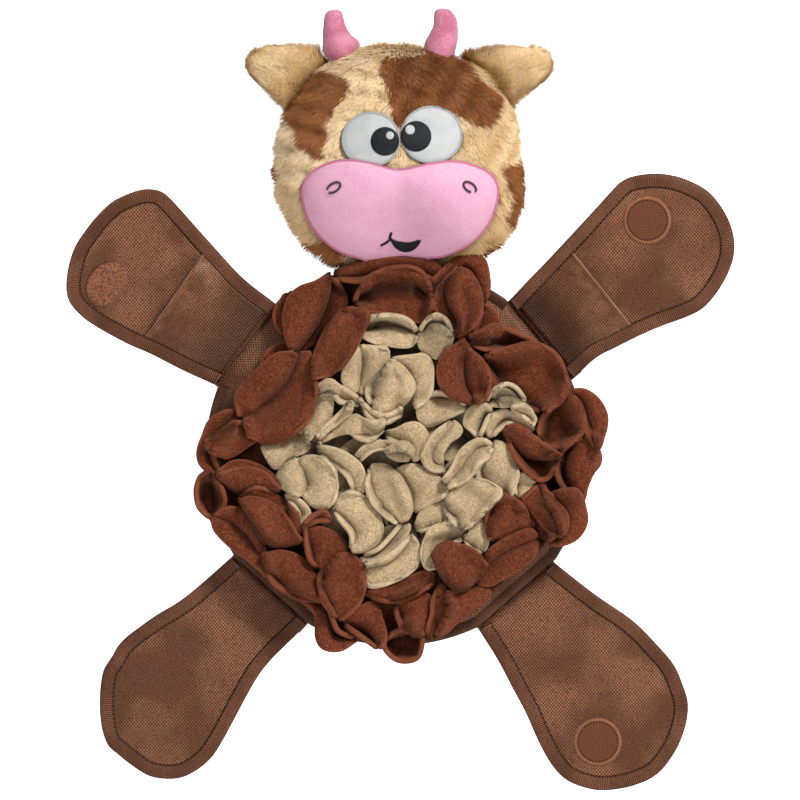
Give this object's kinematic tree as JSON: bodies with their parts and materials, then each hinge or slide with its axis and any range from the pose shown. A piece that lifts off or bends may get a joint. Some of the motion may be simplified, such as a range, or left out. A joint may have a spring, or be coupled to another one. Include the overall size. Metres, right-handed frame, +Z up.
{
  "type": "plush snuffle toy",
  "caption": "Cow-shaped dog snuffle toy: a padded round mat of folded fleece petals with a stuffed plush head and flat cloth legs that fold.",
  "frame": {"origin": "centre of the round mat on its underside", "axes": "+Z up from the surface that the toy lies on, +Y towards the head, +X towards the right as seen from above with the head at the top"},
  "size_m": [0.3582, 0.416, 0.0629],
  "materials": {
    "oxford_cloth": "woven polyester oxford, satin",
    "binding_tape": "ribbed grosgrain tape, matt",
    "brown_fleece": "short pile fleece, matt",
    "tan_fleece": "short pile fleece, matt",
    "plush_fur": "medium pile plush, golden tan with brown patches",
    "muzzle_velvet": "short pile velvet, soft sheen",
    "horn_velvet": "short pile velvet, soft sheen",
    "white_felt": "short pile velboa, matt",
    "black_thread": "satin stitch embroidery",
    "wadding": "polyester fibre, matt",
    "hook_patch": "moulded hooks on a woven base",
    "loop_patch": "brushed loops"
  },
  "bodies": {
    "mat": {"mat_back_panel": "oxford_cloth", "mat_padding": "wadding", "mat_top_panel": "oxford_cloth", "mat_binding": "binding_tape", "brown_petals_outer_right": "brown_fleece", "brown_petals_outer_top": "brown_fleece", "brown_petals_outer_left": "brown_fleece", "brown_petals_outer_bottom": "brown_fleece", "brown_petals_inner_right": "brown_fleece", "brown_petals_inner_top": "brown_fleece", "brown_petals_inner_left": "brown_fleece", "brown_petals_inner_bottom": "brown_fleece", "tan_petals_outer_top": "tan_fleece", "tan_petals_outer_bottom": "tan_fleece", "tan_petals_middle_top": "tan_fleece", "tan_petals_middle_bottom": "tan_fleece", "tan_petals_inner": "tan_fleece", "tan_petals_centre": "tan_fleece"},
    "front_right_leg": {"front_right_leg_panel": "oxford_cloth", "front_right_leg_binding": "binding_tape", "front_right_pocket": "oxford_cloth", "front_right_hook_coin": "hook_patch"},
    "front_left_leg": {"front_left_leg_panel": "oxford_cloth", "front_left_leg_binding": "binding_tape", "front_left_pocket": "oxford_cloth", "front_left_loop_coin": "loop_patch"},
    "rear_left_leg": {"rear_left_leg_panel": "oxford_cloth", "rear_left_leg_binding": "binding_tape", "rear_left_loop_coin": "loop_patch"},
    "rear_right_leg": {"rear_right_leg_panel": "oxford_cloth", "rear_right_leg_binding": "binding_tape", "rear_right_hook_coin": "hook_patch"},
    "head": {"head_front_panel": "plush_fur", "head_back_panel": "plush_fur", "head_stuffing": "wadding", "muzzle": "muzzle_velvet", "mouth": "black_thread", "left_eye_white": "white_felt", "left_pupil": "black_thread", "left_glint": "white_felt", "left_nostril": "black_thread", "left_horn": "horn_velvet", "right_eye_white": "white_felt", "right_pupil": "black_thread", "right_glint": "white_felt", "right_nostril": "black_thread", "right_horn": "horn_velvet"},
    "left_ear": {"left_ear": "plush_fur"},
    "right_ear": {"right_ear": "plush_fur"}
  },
  "joints": [
    {"name": "front_right_leg_fold", "type": "hinge", "parent": "mat", "child": "front_right_leg", "pos_m": [0.07738, 0.06379, 0.0017], "axis": [0.6361, -0.7716, 0], "range_deg": [-90, 95]},
    {"name": "front_left_leg_fold", "type": "hinge", "parent": "mat", "child": "front_left_leg", "pos_m": [-0.07977, 0.06077, 0.0017], "axis": [0.606, 0.7955, 0], "range_deg": [-90, 95]},
    {"name": "rear_left_leg_fold", "type": "hinge", "parent": "mat", "child": "rear_left_leg", "pos_m": [-0.0671, -0.07452, 0.0017], "axis": [-0.7431, 0.6691, 0], "range_deg": [-90, 95]},
    {"name": "rear_right_leg_fold", "type": "hinge", "parent": "mat", "child": "rear_right_leg", "pos_m": [0.06645, -0.07511, 0.0017], "axis": [-0.749, -0.6626, 0], "range_deg": [-90, 95]},
    {"name": "head_tilt", "type": "hinge", "parent": "mat", "child": "head", "pos_m": [0, 0.10028, 0.0017], "axis": [1, 0, 0], "range_deg": [-60, 15]},
    {"name": "left_ear_flop", "type": "hinge", "parent": "head", "child": "left_ear", "pos_m": [-0.05087, 0.20353, 0.024], "axis": [0.6921, 0.7218, 0], "range_deg": [-30, 30], "stiffness_Nm_per_rad": 0.02},
    {"name": "right_ear_flop", "type": "hinge", "parent": "head", "child": "right_ear", "pos_m": [0.05326, 0.20606, 0.024], "axis": [0.6921, -0.7218, 0], "range_deg": [-30, 30], "stiffness_Nm_per_rad": 0.02}
  ]
}
